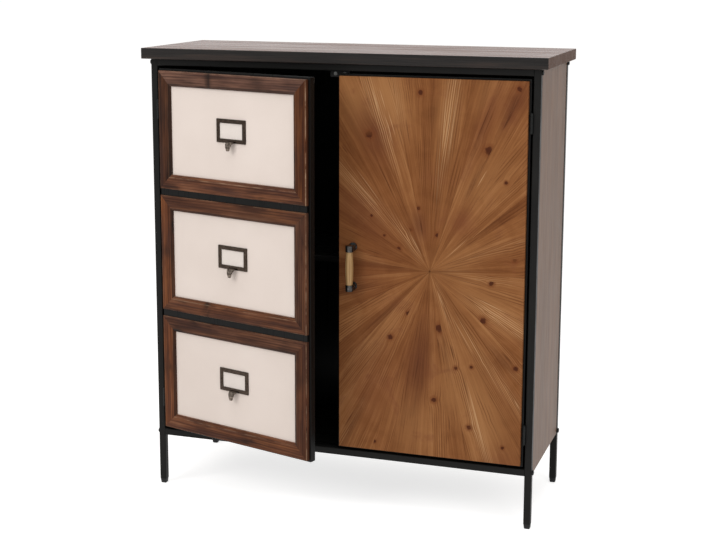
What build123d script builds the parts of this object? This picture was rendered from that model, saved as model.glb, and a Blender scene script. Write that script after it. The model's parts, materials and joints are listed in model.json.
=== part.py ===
from build123d import *
import math
import os

# Floor-standing two-door cabinet on a square-tube steel frame.
# The left door carries three false drawer fronts, the right door a sunburst of wooden wedges.
# Millimetres. X runs to the right, Y to the back and Z up.
# The origin is on the floor, midway between the four legs.

# Whole cabinet
overall_height = 980.0
frame_width = 848.0
frame_depth = 300.0

# Steel frame
tube = 15.0
tube_wall = 1.2
tube_corner = 2.0
bottom_rail_underside = 115.0

# Plastic foot glides
glide_height = 11.0
glide_bottom_width = 12.5
glide_shoulder = 0.4
glide_plug_depth = 14.0
glide_edge = 2.5

# Bolts through the posts and the nuts that they screw into
bolt_radius = 3.0
bolt_head_radius = 5.2
bolt_head_height = 3.4
bolt_head_edge = 1.4
bolt_socket_radius = 2.0
bolt_socket_depth = 1.6
insert_length = 14.0

# Tabletop
top_thickness = 23.0
top_side_overhang = 16.0
top_front_overhang = 15.0
top_edge = 1.5
top_screw_inset = 60.0

# Panels of the carcass
side_panel_thickness = 12.0
side_panel_inset = 1.0
side_panel_lift = 2.0
side_screw_inset = 40.0
back_panel_thickness = 4.0
back_panel_margin = 3.0
back_screw_columns = 4
back_screw_inset = 60.0
floor_thickness = 12.0
floor_recess = 1.0
floor_tab_length = 25.0
floor_tab_reach = 20.0
floor_tab_inset = 60.0
shelf_thickness = 12.0
shelf_top_height = 542.0
shelf_front_setback = 30.0
shelf_pin_radius = 2.5
shelf_pin_inset = 45.0
shelf_pin_in_panel = 8.0
shelf_pin_reach = 10.0

# Wood screws of the carcass
screw_radius = 2.0
screw_head_radius = 4.0
screw_head_height = 2.0
screw_grip = 9.0

# Doors
core_thickness = 15.0
hinge_gap = 3.5
middle_gap = 5.0
door_top_gap = 5.0
door_bottom_gap = 5.0
facing_inset = 4.5
facing_thickness = 9.0
left_door_ajar = 16.5

# Hinges
hinge_height = 40.0
hinge_from_top = 88.0
hinge_from_bottom = 70.0
knuckles = 5
knuckle_radius = 3.0
knuckle_gap = 0.3
knuckle_clearance = 0.3
pin_radius = 1.25
pin_head_radius = 2.3
pin_head_height = 1.2
leaf_thickness = 1.2
leaf_width = 12.0
leaf_screw_radius = 1.5
leaf_screw_head_radius = 2.6
leaf_screw_length = 9.0

# False drawer fronts of the left door
stick_width = 32.0
stick_edge = 1.2
bevel_width = 6.0
bevel_depth = 2.5
divider_height = 14.5
divider_thickness = 6.0
drawer_names = ("upper", "middle", "lower")
panel_thickness = 3.0
rebate_width = 5.0

# Label holders with their finger pulls
holder_width = 78.0
holder_height = 50.0
holder_border = 8.5
holder_thickness = 2.4
holder_corner = 1.5
holder_rise = 10.0
card_thickness = 0.6
card_overlap = 3.0
pull_width = 21.0
pull_tip_width = 6.5
pull_thickness = 2.0
pull_radius = 14.0
pull_drop = 6.0
pull_root = 4.5
holder_pin_radius = 0.9
holder_pin_head_radius = 1.7
holder_pin_head_height = 0.8
holder_pin_length = 6.0

# Sunburst of the right door: widths of neighbouring wedges in degrees, repeated round the centre
wedge_widths = (7.0, 5.5, 9.0, 6.0, 8.0, 5.0, 7.5, 9.5, 6.5, 8.5, 5.5, 7.0, 5.0)
wedge_rounds = 4
wedge_kerf = 0.3

# Handle of the right door
handle_inset = 31.0
handle_standoff = 25.0
grip_length = 70.0
grip_end_radius = 6.6
grip_middle_radius = 8.4
rod_radius = 2.5
rod_in_bracket = 7.0
bracket_height = 13.5
bracket_boss_radius = 8.3
bracket_foot_radius = 9.0
bracket_foot_thickness = 3.5
bracket_arm_width = 14.0
bracket_edge = 1.0
handle_screw_radius = 2.0
handle_screw_head_radius = 4.0
handle_screw_head_height = 2.2
handle_screw_grip = 9.0

# Magnetic catch
catch_width = 42.0
catch_height = 14.0
catch_depth = 15.0
catch_tab_thickness = 2.0
catch_tab_height = 12.0
magnet_radius = 4.0
magnet_length = 6.0
magnet_spread = 10.0
magnet_air_gap = 0.3
strike_width = 20.0
strike_height = 11.0
strike_thickness = 1.2
strike_edge_gap = 1.0

# Clearances
slip = 0.1
running = 0.05
shelf_play = 1.5
board_play = 0.5

# Places worked out from the sizes above
half_width = frame_width / 2
front = -frame_depth / 2
rear = frame_depth / 2
top_underside = overall_height - top_thickness
top_rail_underside = top_underside - tube
bottom_rail_top = bottom_rail_underside + tube
floor_top = bottom_rail_top - floor_recess
floor_underside = floor_top - floor_thickness
post_inner = half_width - tube
panel_outer = half_width - side_panel_inset
panel_inner = panel_outer - side_panel_thickness
side_rail_inner = panel_inner - tube
side_rail_middle = panel_inner - tube / 2
rail_levels = (bottom_rail_underside + tube / 2, top_underside - tube / 2)
rear_rail_front = rear - tube
back_panel_front = rear_rail_front - back_panel_thickness
tube_inside = tube - 2 * tube_wall
inside_corner = max(tube_corner - tube_wall, tube_wall / 4)
shelf_pin_level = shelf_top_height - shelf_thickness - shelf_pin_radius

door_bottom = bottom_rail_top + door_bottom_gap
door_top = top_rail_underside - door_top_gap
door_height = door_top - door_bottom
door_middle = (door_top + door_bottom) / 2
door_width = post_inner - hinge_gap - middle_gap / 2
door_centre = (post_inner - hinge_gap + middle_gap / 2) / 2
core_back = front + core_thickness
facing_width = door_width - 2 * facing_inset
facing_height = door_height - 2 * facing_inset
facing_front = front - facing_thickness

hinge_axis_x = post_inner - hinge_gap / 2
hinge_axis_y = front - knuckle_radius - knuckle_clearance
hinge_levels = (door_bottom + hinge_from_bottom, door_top - hinge_from_top)
knuckle_pitch = hinge_height / knuckles
knuckle_bore = pin_radius + running

drawer_count = len(drawer_names)
drawer_height = (facing_height - (drawer_count - 1) * divider_height) / drawer_count
drawer_pitch = drawer_height + divider_height
opening_width = facing_width - 2 * stick_width
opening_height = drawer_height - 2 * stick_width
panel_front = front - panel_thickness

handle_x = door_centre - facing_width / 2 + handle_inset
grip_y = facing_front - handle_standoff
strike_back = core_back + strike_thickness
catch_front = strike_back + magnet_air_gap
magnet_level = top_rail_underside - catch_height / 2
strike_level = door_top - strike_edge_gap - strike_height / 2


def block(x_range, y_range, z_range):
    """A box between two values along each axis."""
    sizes = [high - low for low, high in (x_range, y_range, z_range)]
    centre = [(low + high) / 2 for low, high in (x_range, y_range, z_range)]
    return Pos(*centre) * Box(*sizes)


def turn_to(direction):
    """The rotation that turns +Z to one of the six axis directions."""
    turns = {
        "+X": Rot(0, 90, 0),
        "-X": Rot(0, -90, 0),
        "+Y": Rot(-90, 0, 0),
        "-Y": Rot(90, 0, 0),
        "+Z": Rot(0, 0, 0),
        "-Z": Rot(180, 0, 0),
    }
    return turns[direction]


def outward(side):
    """The name of the direction that points away from the middle on one side."""
    return "+X" if side > 0 else "-X"


def headed(shank_radius, length, head_radius, head_height):
    """A flat-headed fastener: head above the origin, shank below it."""
    head = Pos(0, 0, head_height / 2) * Cylinder(head_radius, head_height)
    shank = Pos(0, 0, -length / 2) * Cylinder(shank_radius, length)
    return head + shank


def countersunk(shank_radius, length, head_radius, head_depth):
    """A countersunk screw whose head ends flush with the origin, shank below."""
    head = Pos(0, 0, -head_depth / 2) * Cone(shank_radius, head_radius, head_depth)
    shank = Pos(0, 0, -length / 2) * Cylinder(shank_radius, length)
    return head + shank


def hole(radius, start, direction, depth):
    """A round cutter that runs from a point into the material."""
    return Pos(*start) * turn_to(direction) * Pos(0, 0, depth / 2) * Cylinder(radius, depth)


def square_tube(length):
    """A length of frame tube along Z, standing on the origin."""
    outer = RectangleRounded(tube, tube, tube_corner)
    inner = RectangleRounded(tube_inside, tube_inside, inside_corner)
    return extrude(outer - inner, amount=length)


def post(x_side, y_side):
    """One corner post with its bolt holes and, at the front, its hinge screw holes."""
    x = x_side * (half_width - tube / 2)
    y = y_side * (frame_depth / 2 - tube / 2)
    body = Pos(x, y, glide_height) * square_tube(top_underside - glide_height)
    start = x_side * (half_width + slip)
    inward = outward(-x_side)
    for level in rail_levels:
        body -= hole(bolt_radius + slip, (start, y, level), inward, tube + 2 * slip)
    if y_side < 0:
        for screw in leaf_screws(x_side, False, slip):
            body -= screw
    return body


def glide(x_side, y_side):
    """A tapered plastic foot whose plug fills the end of a post."""
    x = x_side * (half_width - tube / 2)
    y = y_side * (frame_depth / 2 - tube / 2)
    shoulder = tube - 2 * glide_shoulder
    bottom = RectangleRounded(glide_bottom_width, glide_bottom_width, glide_bottom_width / 4)
    top = RectangleRounded(shoulder, shoulder, tube_corner)
    foot = loft([bottom, Pos(0, 0, glide_height) * top])
    foot = fillet(foot.faces().sort_by(Axis.Z)[0].edges(), glide_edge)
    plug_width = tube_inside - 2 * slip
    plug = extrude(RectangleRounded(plug_width, plug_width, inside_corner), amount=glide_plug_depth)
    return Pos(x, y, 0) * (foot + Pos(0, 0, glide_height) * plug)


def cross_rail(y_side, level):
    """A rail between the two posts at the front or at the rear."""
    y = y_side * (frame_depth / 2 - tube / 2)
    return Pos(-post_inner, y, level) * turn_to("+X") * square_tube(2 * post_inner)


def side_rail(x_side, level):
    """A rail behind a side panel, between the front and rear cross rails."""
    length = frame_depth - 2 * tube
    x = x_side * side_rail_middle
    rail = Pos(x, front + tube, level) * turn_to("+Y") * square_tube(length)
    for screw_y in side_screw_places():
        start = (x_side * (side_rail_middle - tube), screw_y, level)
        rail -= hole(screw_radius + slip, start, outward(x_side), 2 * tube)
    if level == rail_levels[1]:
        for screw_y in top_screw_places():
            rail -= hole(screw_radius + slip, (x, screw_y, level - tube), "+Z", 2 * tube)
    else:
        for tab_y in floor_tab_places():
            rail += floor_tab(x_side, tab_y)
    return rail


def floor_tab_places():
    """Where the tabs that carry the floor panel sit along a bottom side rail."""
    reach = frame_depth / 2 - tube - floor_tab_inset
    return (-reach, reach)


def floor_tab(x_side, y):
    """A steel tab welded to the inside of a bottom side rail, under the floor panel."""
    inner = side_rail_inner - floor_tab_reach
    near, far = sorted((x_side * inner, x_side * (side_rail_inner + tube_wall * 0.8)))
    y_range = (y - floor_tab_length / 2, y + floor_tab_length / 2)
    return block((near, far), y_range, (bottom_rail_underside, floor_underside))


def side_screw_places():
    """Where the screws of a side panel sit along its rails."""
    reach = frame_depth / 2 - tube - side_screw_inset
    return (-reach, reach)


def top_screw_places():
    """Where the screws of the tabletop sit along the side rails."""
    reach = frame_depth / 2 - tube - top_screw_inset
    return (-reach, reach)


def nut_insert(x_side, y_side, level):
    """The threaded plug in the end of a cross rail."""
    width = tube_inside - 2 * slip
    plug = extrude(RectangleRounded(width, width, inside_corner), amount=insert_length)
    plug -= Pos(0, 0, insert_length / 2) * Cylinder(bolt_radius + running, 2 * insert_length)
    y = y_side * (frame_depth / 2 - tube / 2)
    return Pos(x_side * post_inner, y, level) * turn_to(outward(-x_side)) * plug


def frame_bolt(x_side, y_side, level):
    """A button-head bolt through a post into the nut insert of a cross rail."""
    length = tube + insert_length
    head = Pos(0, 0, bolt_head_height / 2) * Cylinder(bolt_head_radius, bolt_head_height)
    head = fillet(head.edges().group_by(Axis.Z)[-1], bolt_head_edge)
    shank = Pos(0, 0, -length / 2) * Cylinder(bolt_radius, length)
    socket = extrude(RegularPolygon(bolt_socket_radius, 6), amount=bolt_socket_depth)
    bolt = head + shank - Pos(0, 0, bolt_head_height - bolt_socket_depth) * socket
    y = y_side * (frame_depth / 2 - tube / 2)
    return Pos(x_side * half_width, y, level) * turn_to(outward(x_side)) * bolt


def tabletop():
    """The stained wooden top, flush with the rear posts."""
    half_top = half_width + top_side_overhang
    board = block(
        (-half_top, half_top), (front - top_front_overhang, rear), (top_underside, overall_height)
    )
    board = fillet(board.edges(), top_edge)
    for x_side in (-1, 1):
        for screw_y in top_screw_places():
            start = (x_side * side_rail_middle, screw_y, top_underside)
            board -= hole(screw_radius + running, start, "+Z", screw_grip + slip)
    return board


def tabletop_screw(x_side, y):
    """A screw up through a side rail into the tabletop."""
    screw = headed(screw_radius, tube + screw_grip, screw_head_radius, screw_head_height)
    return Pos(x_side * side_rail_middle, y, top_rail_underside) * turn_to("-Z") * screw


def side_panel(x_side):
    """A board between the front and rear posts, over the whole height of the carcass."""
    near, far = sorted((x_side * panel_inner, x_side * panel_outer))
    bottom = bottom_rail_underside + side_panel_lift
    board = block((near, far), (front + tube, rear - tube), (bottom, top_underside))
    for level in rail_levels:
        for screw_y in side_screw_places():
            start = (x_side * panel_inner, screw_y, level)
            board -= hole(screw_radius + running, start, outward(x_side), screw_grip + slip)
    for pin_y in shelf_pin_places():
        start = (x_side * panel_inner, pin_y, shelf_pin_level)
        board -= hole(shelf_pin_radius + running, start, outward(x_side), shelf_pin_in_panel + slip)
    return board


def side_panel_screw(x_side, y, level):
    """A screw through a side rail into the side panel."""
    screw = headed(screw_radius, tube + screw_grip, screw_head_radius, screw_head_height)
    x = x_side * side_rail_inner
    return Pos(x, y, level) * turn_to(outward(-x_side)) * screw


def back_panel():
    """A thin board on the rear rails, notched round the ends of the side rails."""
    reach = panel_inner - board_play
    low = bottom_rail_underside + back_panel_margin
    high = top_underside - back_panel_margin
    board = block((-reach, reach), (back_panel_front, rear_rail_front), (low, high))
    notch = side_rail_inner - board_play
    for x_side in (-1, 1):
        near, far = sorted((x_side * notch, x_side * half_width))
        cut_y = (back_panel_front - slip, rear)
        board -= block((near, far), cut_y, (0, bottom_rail_top + board_play))
        board -= block((near, far), cut_y, (top_rail_underside - board_play, overall_height))
    for x, level in back_screw_places():
        board -= hole(screw_radius + slip, (x, back_panel_front - slip, level), "+Y", tube)
    return board


def back_screw_places():
    """Where the screws of the back panel sit on the two rear rails."""
    reach = post_inner - tube - back_screw_inset
    step = 2 * reach / (back_screw_columns - 1)
    columns = [-reach + step * column for column in range(back_screw_columns)]
    return [(x, level) for level in rail_levels for x in columns]


def back_panel_screw(x, level):
    """A short screw through the back panel into a rear rail."""
    length = back_panel_thickness + screw_grip
    screw = headed(screw_radius, length, screw_head_radius, screw_head_height)
    return Pos(x, back_panel_front, level) * turn_to("-Y") * screw


def rear_rail(level):
    """A rear cross rail with the screw holes of the back panel."""
    rail = cross_rail(1, level)
    for x, screw_level in back_screw_places():
        if screw_level == level:
            start = (x, rear_rail_front - slip, level)
            rail -= hole(screw_radius + running, start, "+Y", tube / 2)
    return rail


def floor_panel():
    """The bottom board, which lies between the bottom rails on their tabs, clear of the screw heads."""
    reach = side_rail_inner - screw_head_height - board_play
    y_range = (front + tube + board_play, back_panel_front - screw_head_height - board_play)
    return block((-reach, reach), y_range, (floor_underside, floor_top))


def shelf():
    """The loose shelf half-way up."""
    reach = panel_inner - shelf_play
    y_range = (core_back + shelf_front_setback, back_panel_front - shelf_play)
    return block((-reach, reach), y_range, (shelf_top_height - shelf_thickness, shelf_top_height))


def shelf_pin_places():
    """Where the shelf pins sit from front to back."""
    return (
        core_back + shelf_front_setback + shelf_pin_inset,
        back_panel_front - shelf_pin_inset,
    )


def shelf_pin(x_side, y):
    """A steel pin in a side panel that carries one corner of the shelf."""
    length = shelf_pin_in_panel + shelf_pin_reach
    pin = Pos(0, 0, length / 2) * Cylinder(shelf_pin_radius, length)
    x = x_side * (panel_inner - shelf_pin_reach)
    return Pos(x, y, shelf_pin_level) * turn_to(outward(x_side)) * pin


def leaf_screws(side, moving, clearance):
    """The two screws of each hinge leaf on one side, widened by a clearance to cut their holes."""
    toward = side if not moving else -side
    x = side * hinge_axis_x + toward * (hinge_gap / 2 - leaf_thickness)
    y = front + leaf_width / 2
    screws = []
    for level in hinge_levels:
        for offset in (-hinge_height / 4, hinge_height / 4):
            screw = countersunk(
                leaf_screw_radius + clearance,
                leaf_screw_length + clearance,
                leaf_screw_head_radius + clearance,
                leaf_thickness,
            )
            screws.append(Pos(x, y, level + offset) * turn_to(outward(-toward)) * screw)
    return screws


def hinge_leaf(side, moving, level):
    """A hinge leaf with its share of the knuckles: on a post, or moving with a door."""
    toward = side if not moving else -side
    axis_x = side * hinge_axis_x
    near, far = sorted(
        (axis_x + toward * (hinge_gap / 2 - leaf_thickness), axis_x + toward * hinge_gap / 2)
    )
    low = level - hinge_height / 2
    leaf = block((near, far), (front, front + leaf_width), (low, low + hinge_height))
    own = range(1, knuckles, 2) if moving else range(0, knuckles, 2)
    for index in own:
        bottom = low + index * knuckle_pitch + knuckle_gap / 2
        height = knuckle_pitch - knuckle_gap
        tab_start = hinge_axis_y + (knuckle_bore + knuckle_radius) / 2
        leaf += block((near, far), (tab_start, front), (bottom, bottom + height))
        middle = bottom + height / 2
        leaf += Pos(axis_x, hinge_axis_y, middle) * Cylinder(knuckle_radius, height)
    leaf -= Pos(axis_x, hinge_axis_y, level) * Cylinder(knuckle_bore, 2 * hinge_height)
    for screw in leaf_screws(side, moving, running):
        leaf -= screw
    return leaf


def hinge_pin(side, level):
    """A headed pin through the knuckles of one hinge."""
    length = hinge_height - knuckle_gap
    pin = Cylinder(pin_radius, length)
    for end in (-1, 1):
        pin += Pos(0, 0, end * (length + pin_head_height) / 2) * Cylinder(pin_head_radius, pin_head_height)
    return Pos(side * hinge_axis_x, hinge_axis_y, level) * pin


def catch_body():
    """The black plastic housing under the top front rail, with a tab up the back of the rail."""
    half = catch_width / 2
    bottom = top_rail_underside - catch_height
    body_y = (catch_front, catch_front + catch_depth)
    body = block((-half, half), body_y, (bottom, top_rail_underside))
    tab_y = (front + tube, catch_front + catch_tab_thickness)
    body += block((-half, half), tab_y, (top_rail_underside, top_rail_underside + catch_tab_height))
    for x_side in (-1, 1):
        body -= Pos(x_side * magnet_spread, 0, 0) * magnet(slip)
    for x in catch_screw_places():
        level = top_rail_underside + catch_tab_height / 2
        body -= hole(screw_radius + slip, (x, front + tube - slip, level), "+Y", tube)
    return body


def magnet(clearance):
    """A round magnet whose face lies in the front of the catch."""
    start = (0, catch_front, magnet_level)
    return hole(magnet_radius + clearance, start, "+Y", magnet_length + clearance)


def catch_screw_places():
    """Where the two screws of the catch sit along the rail."""
    return (-catch_width / 4, catch_width / 4)


def catch_screw(x):
    """A screw through the tab of the catch into the top front rail."""
    length = catch_front + catch_tab_thickness - front - tube + screw_grip
    screw = headed(screw_radius, length, screw_head_radius, screw_head_height)
    level = top_rail_underside + catch_tab_height / 2
    return Pos(x, catch_front + catch_tab_thickness, level) * turn_to("+Y") * screw


def top_front_rail():
    """The front cross rail under the tabletop, with the screw holes of the catch."""
    rail = cross_rail(-1, rail_levels[1])
    for x in catch_screw_places():
        start = (x, front + tube + slip, top_rail_underside + catch_tab_height / 2)
        rail -= hole(screw_radius + running, start, "-Y", tube / 2)
    return rail


def strike_plate(side):
    """The steel plate on the back of a door that meets the magnet."""
    x_range = (strike_x(side) - strike_width / 2, strike_x(side) + strike_width / 2)
    z_range = (strike_level - strike_height / 2, strike_level + strike_height / 2)
    plate = block(x_range, (core_back, strike_back), z_range)
    return plate - strike_screw(side, running)


def strike_x(side):
    """The place of the middle of a strike plate along the door."""
    return side * (middle_gap / 2 + strike_edge_gap + strike_width / 2)


def strike_screw(side, clearance):
    """The countersunk screw of a strike plate, widened by a clearance to cut its hole."""
    screw = countersunk(
        leaf_screw_radius + clearance,
        leaf_screw_length + clearance,
        leaf_screw_head_radius + clearance,
        strike_thickness,
    )
    return Pos(strike_x(side), strike_back, strike_level) * turn_to("+Y") * screw


def door_core(side):
    """The flat board of a door, with the screw holes of its hinges and its strike plate."""
    near, far = sorted((side * middle_gap / 2, side * (post_inner - hinge_gap)))
    board = block((near, far), (front, core_back), (door_bottom, door_top))
    for screw in leaf_screws(side, True, running):
        board -= screw
    return board - strike_screw(side, running)


def drawer_middle(index):
    """The height of the middle of a false drawer front, counted from the top."""
    return door_middle + facing_height / 2 - drawer_height / 2 - index * drawer_pitch


def stick_section(across):
    """The moulding of a drawer frame: rebated behind for the panel, bevelled towards it in front."""
    inner = across - stick_width
    rebate_depth = panel_thickness + slip
    corners = [
        (0, across),
        (-facing_thickness, across),
        (-facing_thickness, inner + bevel_width),
        (bevel_depth - facing_thickness, inner),
        (-rebate_depth, inner),
        (-rebate_depth, inner + rebate_width),
        (0, inner + rebate_width),
    ]
    section = Polygon(*corners, align=None)
    outer_front = section.vertices().sort_by_distance((-facing_thickness, across))[0]
    return fillet(outer_front, stick_edge)


def mitred_stick(length, across):
    """One mitred stick of a drawer frame, lying along X at a distance above the middle."""
    bar = extrude(Plane.YZ * stick_section(across), amount=length / 2, both=True)
    corners = [
        (-length / 2, across),
        (stick_width - length / 2, across - stick_width),
        (length / 2 - stick_width, across - stick_width),
        (length / 2, across),
    ]
    return bar & extrude(Plane.XZ * Polygon(*corners, align=None), amount=facing_thickness)


def drawer_frame(index):
    """The four mitred sticks of a false drawer front."""
    flat = mitred_stick(facing_width, drawer_height / 2)
    tall = mitred_stick(drawer_height, facing_width / 2)
    sticks = [flat, Rot(0, 180, 0) * flat, Rot(0, 90, 0) * tall, Rot(0, -90, 0) * tall]
    place = Pos(-door_centre, front, drawer_middle(index))
    return [place * stick for stick in sticks]


def drawer_panel(index):
    """The pale board held behind a drawer frame."""
    reach_x = opening_width / 2 + rebate_width - board_play
    reach_z = opening_height / 2 + rebate_width - board_play
    level = drawer_middle(index)
    board = block((-reach_x, reach_x), (-panel_thickness, 0), (-reach_z, reach_z))
    board = Pos(-door_centre, front, level) * board
    for pin in holder_pins(index, running):
        board -= pin
    return board


def divider(index):
    """The black strip below a false drawer front."""
    level = drawer_middle(index) - drawer_height / 2
    x_range = (-door_centre - facing_width / 2, -door_centre + facing_width / 2)
    return block(x_range, (front - divider_thickness, front), (level - divider_height, level))


def holder_middle(index):
    """The height of the middle of a label holder."""
    return drawer_middle(index) + holder_rise


def pull_tongue():
    """The finger pull: it curves forward and down, and tapers to a rounded tip."""
    drop = pull_radius + pull_drop
    inner = pull_radius - pull_thickness
    side_view = Plane(origin=(0, 0, 0), x_dir=(0, -1, 0), z_dir=(-1, 0, 0))
    bend = Pos(0, -pull_radius) * (Circle(pull_radius) - Circle(inner))
    bend &= Pos(pull_radius, 0) * Rectangle(2 * pull_radius, 2 * pull_radius)
    straight = Pos(pull_radius - pull_thickness / 2, -pull_radius - pull_drop / 2)
    outline = bend + straight * Rectangle(pull_thickness, pull_drop)
    tongue = extrude(side_view * outline, amount=pull_width / 2, both=True)
    taper = [
        (-pull_width / 2, pull_thickness),
        (-pull_tip_width / 2, -drop),
        (pull_tip_width / 2, -drop),
        (pull_width / 2, pull_thickness),
    ]
    front_view = Polygon(*taper, align=None)
    front_view = fillet(front_view.vertices().sort_by(Axis.Y)[:2], pull_tip_width / 3)
    return tongue & extrude(Plane.XZ * front_view, amount=2 * pull_radius)


def label_holder(index):
    """A metal label frame with a finger pull at its lower edge."""
    ring = RectangleRounded(holder_width, holder_height, holder_corner)
    window = (holder_width - 2 * holder_border, holder_height - 2 * holder_border)
    ring -= Rectangle(*window)
    plate = extrude(Plane.XZ * ring, amount=holder_thickness)
    plate = fillet(plate.faces().sort_by(Axis.Y)[0].outer_wire().edges(), holder_thickness / 3)
    card_x = window[0] / 2 + card_overlap
    card_z = window[1] / 2 + card_overlap
    depth = card_thickness + slip
    plate -= block((-card_x, card_x), (-depth, depth), (-card_z, card_z))
    holder = plate + Pos(0, 0, pull_root - holder_height / 2) * pull_tongue()
    holder = Pos(-door_centre, panel_front, holder_middle(index)) * holder
    for pin in holder_pins(index, running):
        holder -= pin
    return holder


def label_card(index):
    """The blank card behind a label frame."""
    reach_x = holder_width / 2 - holder_border + card_overlap - slip
    reach_z = holder_height / 2 - holder_border + card_overlap - slip
    card = block((-reach_x, reach_x), (-card_thickness, 0), (-reach_z, reach_z))
    return Pos(-door_centre, panel_front, holder_middle(index)) * card


def holder_pins(index, clearance):
    """The two pins of a label holder, widened by a clearance to cut their holes."""
    pin = headed(
        holder_pin_radius + clearance,
        holder_pin_length + clearance,
        holder_pin_head_radius,
        holder_pin_head_height,
    )
    reach = (holder_width - holder_border + card_overlap) / 2
    y = panel_front - holder_thickness
    places = [Pos(-door_centre + x, y, holder_middle(index)) for x in (-reach, reach)]
    return [place * turn_to("-Y") * pin for place in places]


def left_door_core():
    """The core of the left door, with the holes of the label holders' pins."""
    core = door_core(-1)
    for index in range(drawer_count):
        for pin in holder_pins(index, running):
            core -= pin
    return core


def sunburst():
    """The wedges of the right door's facing, with narrow gaps between them."""
    half_x = facing_width / 2
    half_z = facing_height / 2
    board = block((-half_x, half_x), (-facing_thickness, 0), (-half_z, half_z))
    scale = 360 / (wedge_rounds * sum(wedge_widths))
    wedges = []
    start = 0.0
    for width in wedge_widths * wedge_rounds:
        end = start + width * scale
        wedges.append(board & wedge_cutter(start, end))
        start = end
    place = Pos(door_centre, front, door_middle)
    return [drill_for_handle(place * wedge) for wedge in wedges]


def wedge_cutter(start, end):
    """A long thin triangle between two directions, half a saw cut inside each."""
    half_angle = math.radians(end - start) / 2
    apex = wedge_kerf / 2 / math.sin(half_angle)
    reach = facing_width + facing_height
    spread = (reach - apex) * math.tan(half_angle)
    triangle = Polygon((apex, 0), (reach, -spread), (reach, spread), align=None)
    turned = Rot(0, 0, (start + end) / 2) * triangle
    return extrude(Plane.XZ * turned, amount=2 * facing_thickness)


def bracket_levels():
    """The heights of the middles of the two handle brackets."""
    reach = (grip_length + bracket_height) / 2
    return (door_middle - reach, door_middle + reach)


def drill_for_handle(board):
    """Cuts the holes of the handle's screws through a board of the right door."""
    for level in bracket_levels():
        start = (handle_x, facing_front - slip, level)
        board -= hole(handle_screw_radius + slip, start, "+Y", facing_thickness + core_thickness + 2 * slip)
    return board


def handle_bracket(level):
    """A bracket that holds one end of the grip off the door."""
    boss = Cylinder(bracket_boss_radius, bracket_height)
    boss = Pos(handle_x, grip_y, level) * fillet(boss.edges().filter_by(GeomType.CIRCLE), bracket_edge)
    half = bracket_arm_width / 2
    arm_height = bracket_height - 2 * bracket_edge
    arm_z = (level - arm_height / 2, level + arm_height / 2)
    arm = block((handle_x - half, handle_x + half), (grip_y, facing_front - bracket_edge), arm_z)
    foot = Cylinder(bracket_foot_radius, bracket_foot_thickness)
    foot = fillet(foot.edges().group_by(Axis.Z)[-1], bracket_edge)
    foot_y = facing_front - bracket_foot_thickness / 2
    foot = Pos(handle_x, foot_y, level) * turn_to("-Y") * foot
    bracket = boss + arm + foot
    inward = 1 if level < door_middle else -1
    start = (handle_x, grip_y, level + inward * bracket_height / 2)
    bracket -= hole(rod_radius + running, start, "-Z" if inward > 0 else "+Z", rod_in_bracket + slip)
    screw_start = (handle_x, facing_front + slip, level)
    bracket -= hole(handle_screw_radius + running, screw_start, "-Y", handle_screw_grip + 2 * slip)
    return bracket


def handle_grip():
    """The turned wooden grip, slightly fuller in the middle, on its steel rod."""
    half = grip_length / 2
    belly = ThreePointArc((grip_end_radius, -half), (grip_middle_radius, 0), (grip_end_radius, half))
    bore = rod_radius + running
    outline = Polyline((grip_end_radius, half), (bore, half), (bore, -half), (grip_end_radius, -half))
    section = Plane.XZ * make_face(belly + outline)
    return Pos(handle_x, grip_y, door_middle) * revolve(section, Axis.Z)


def handle_rod():
    """The steel rod inside the grip, which ends in the brackets."""
    length = grip_length + 2 * rod_in_bracket
    return Pos(handle_x, grip_y, door_middle) * Cylinder(rod_radius, length)


def handle_screw(level):
    """A screw from the back of the door into a handle bracket."""
    length = core_thickness + facing_thickness + handle_screw_grip
    screw = headed(handle_screw_radius, length, handle_screw_head_radius, handle_screw_head_height)
    return Pos(handle_x, core_back, level) * turn_to("+Y") * screw


def ajar(shape):
    """Swings a piece of the left door open about its hinge axis."""
    axis = Pos(-hinge_axis_x, hinge_axis_y, 0)
    return axis * Rot(0, 0, -left_door_ajar) * axis.inverse() * shape


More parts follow.
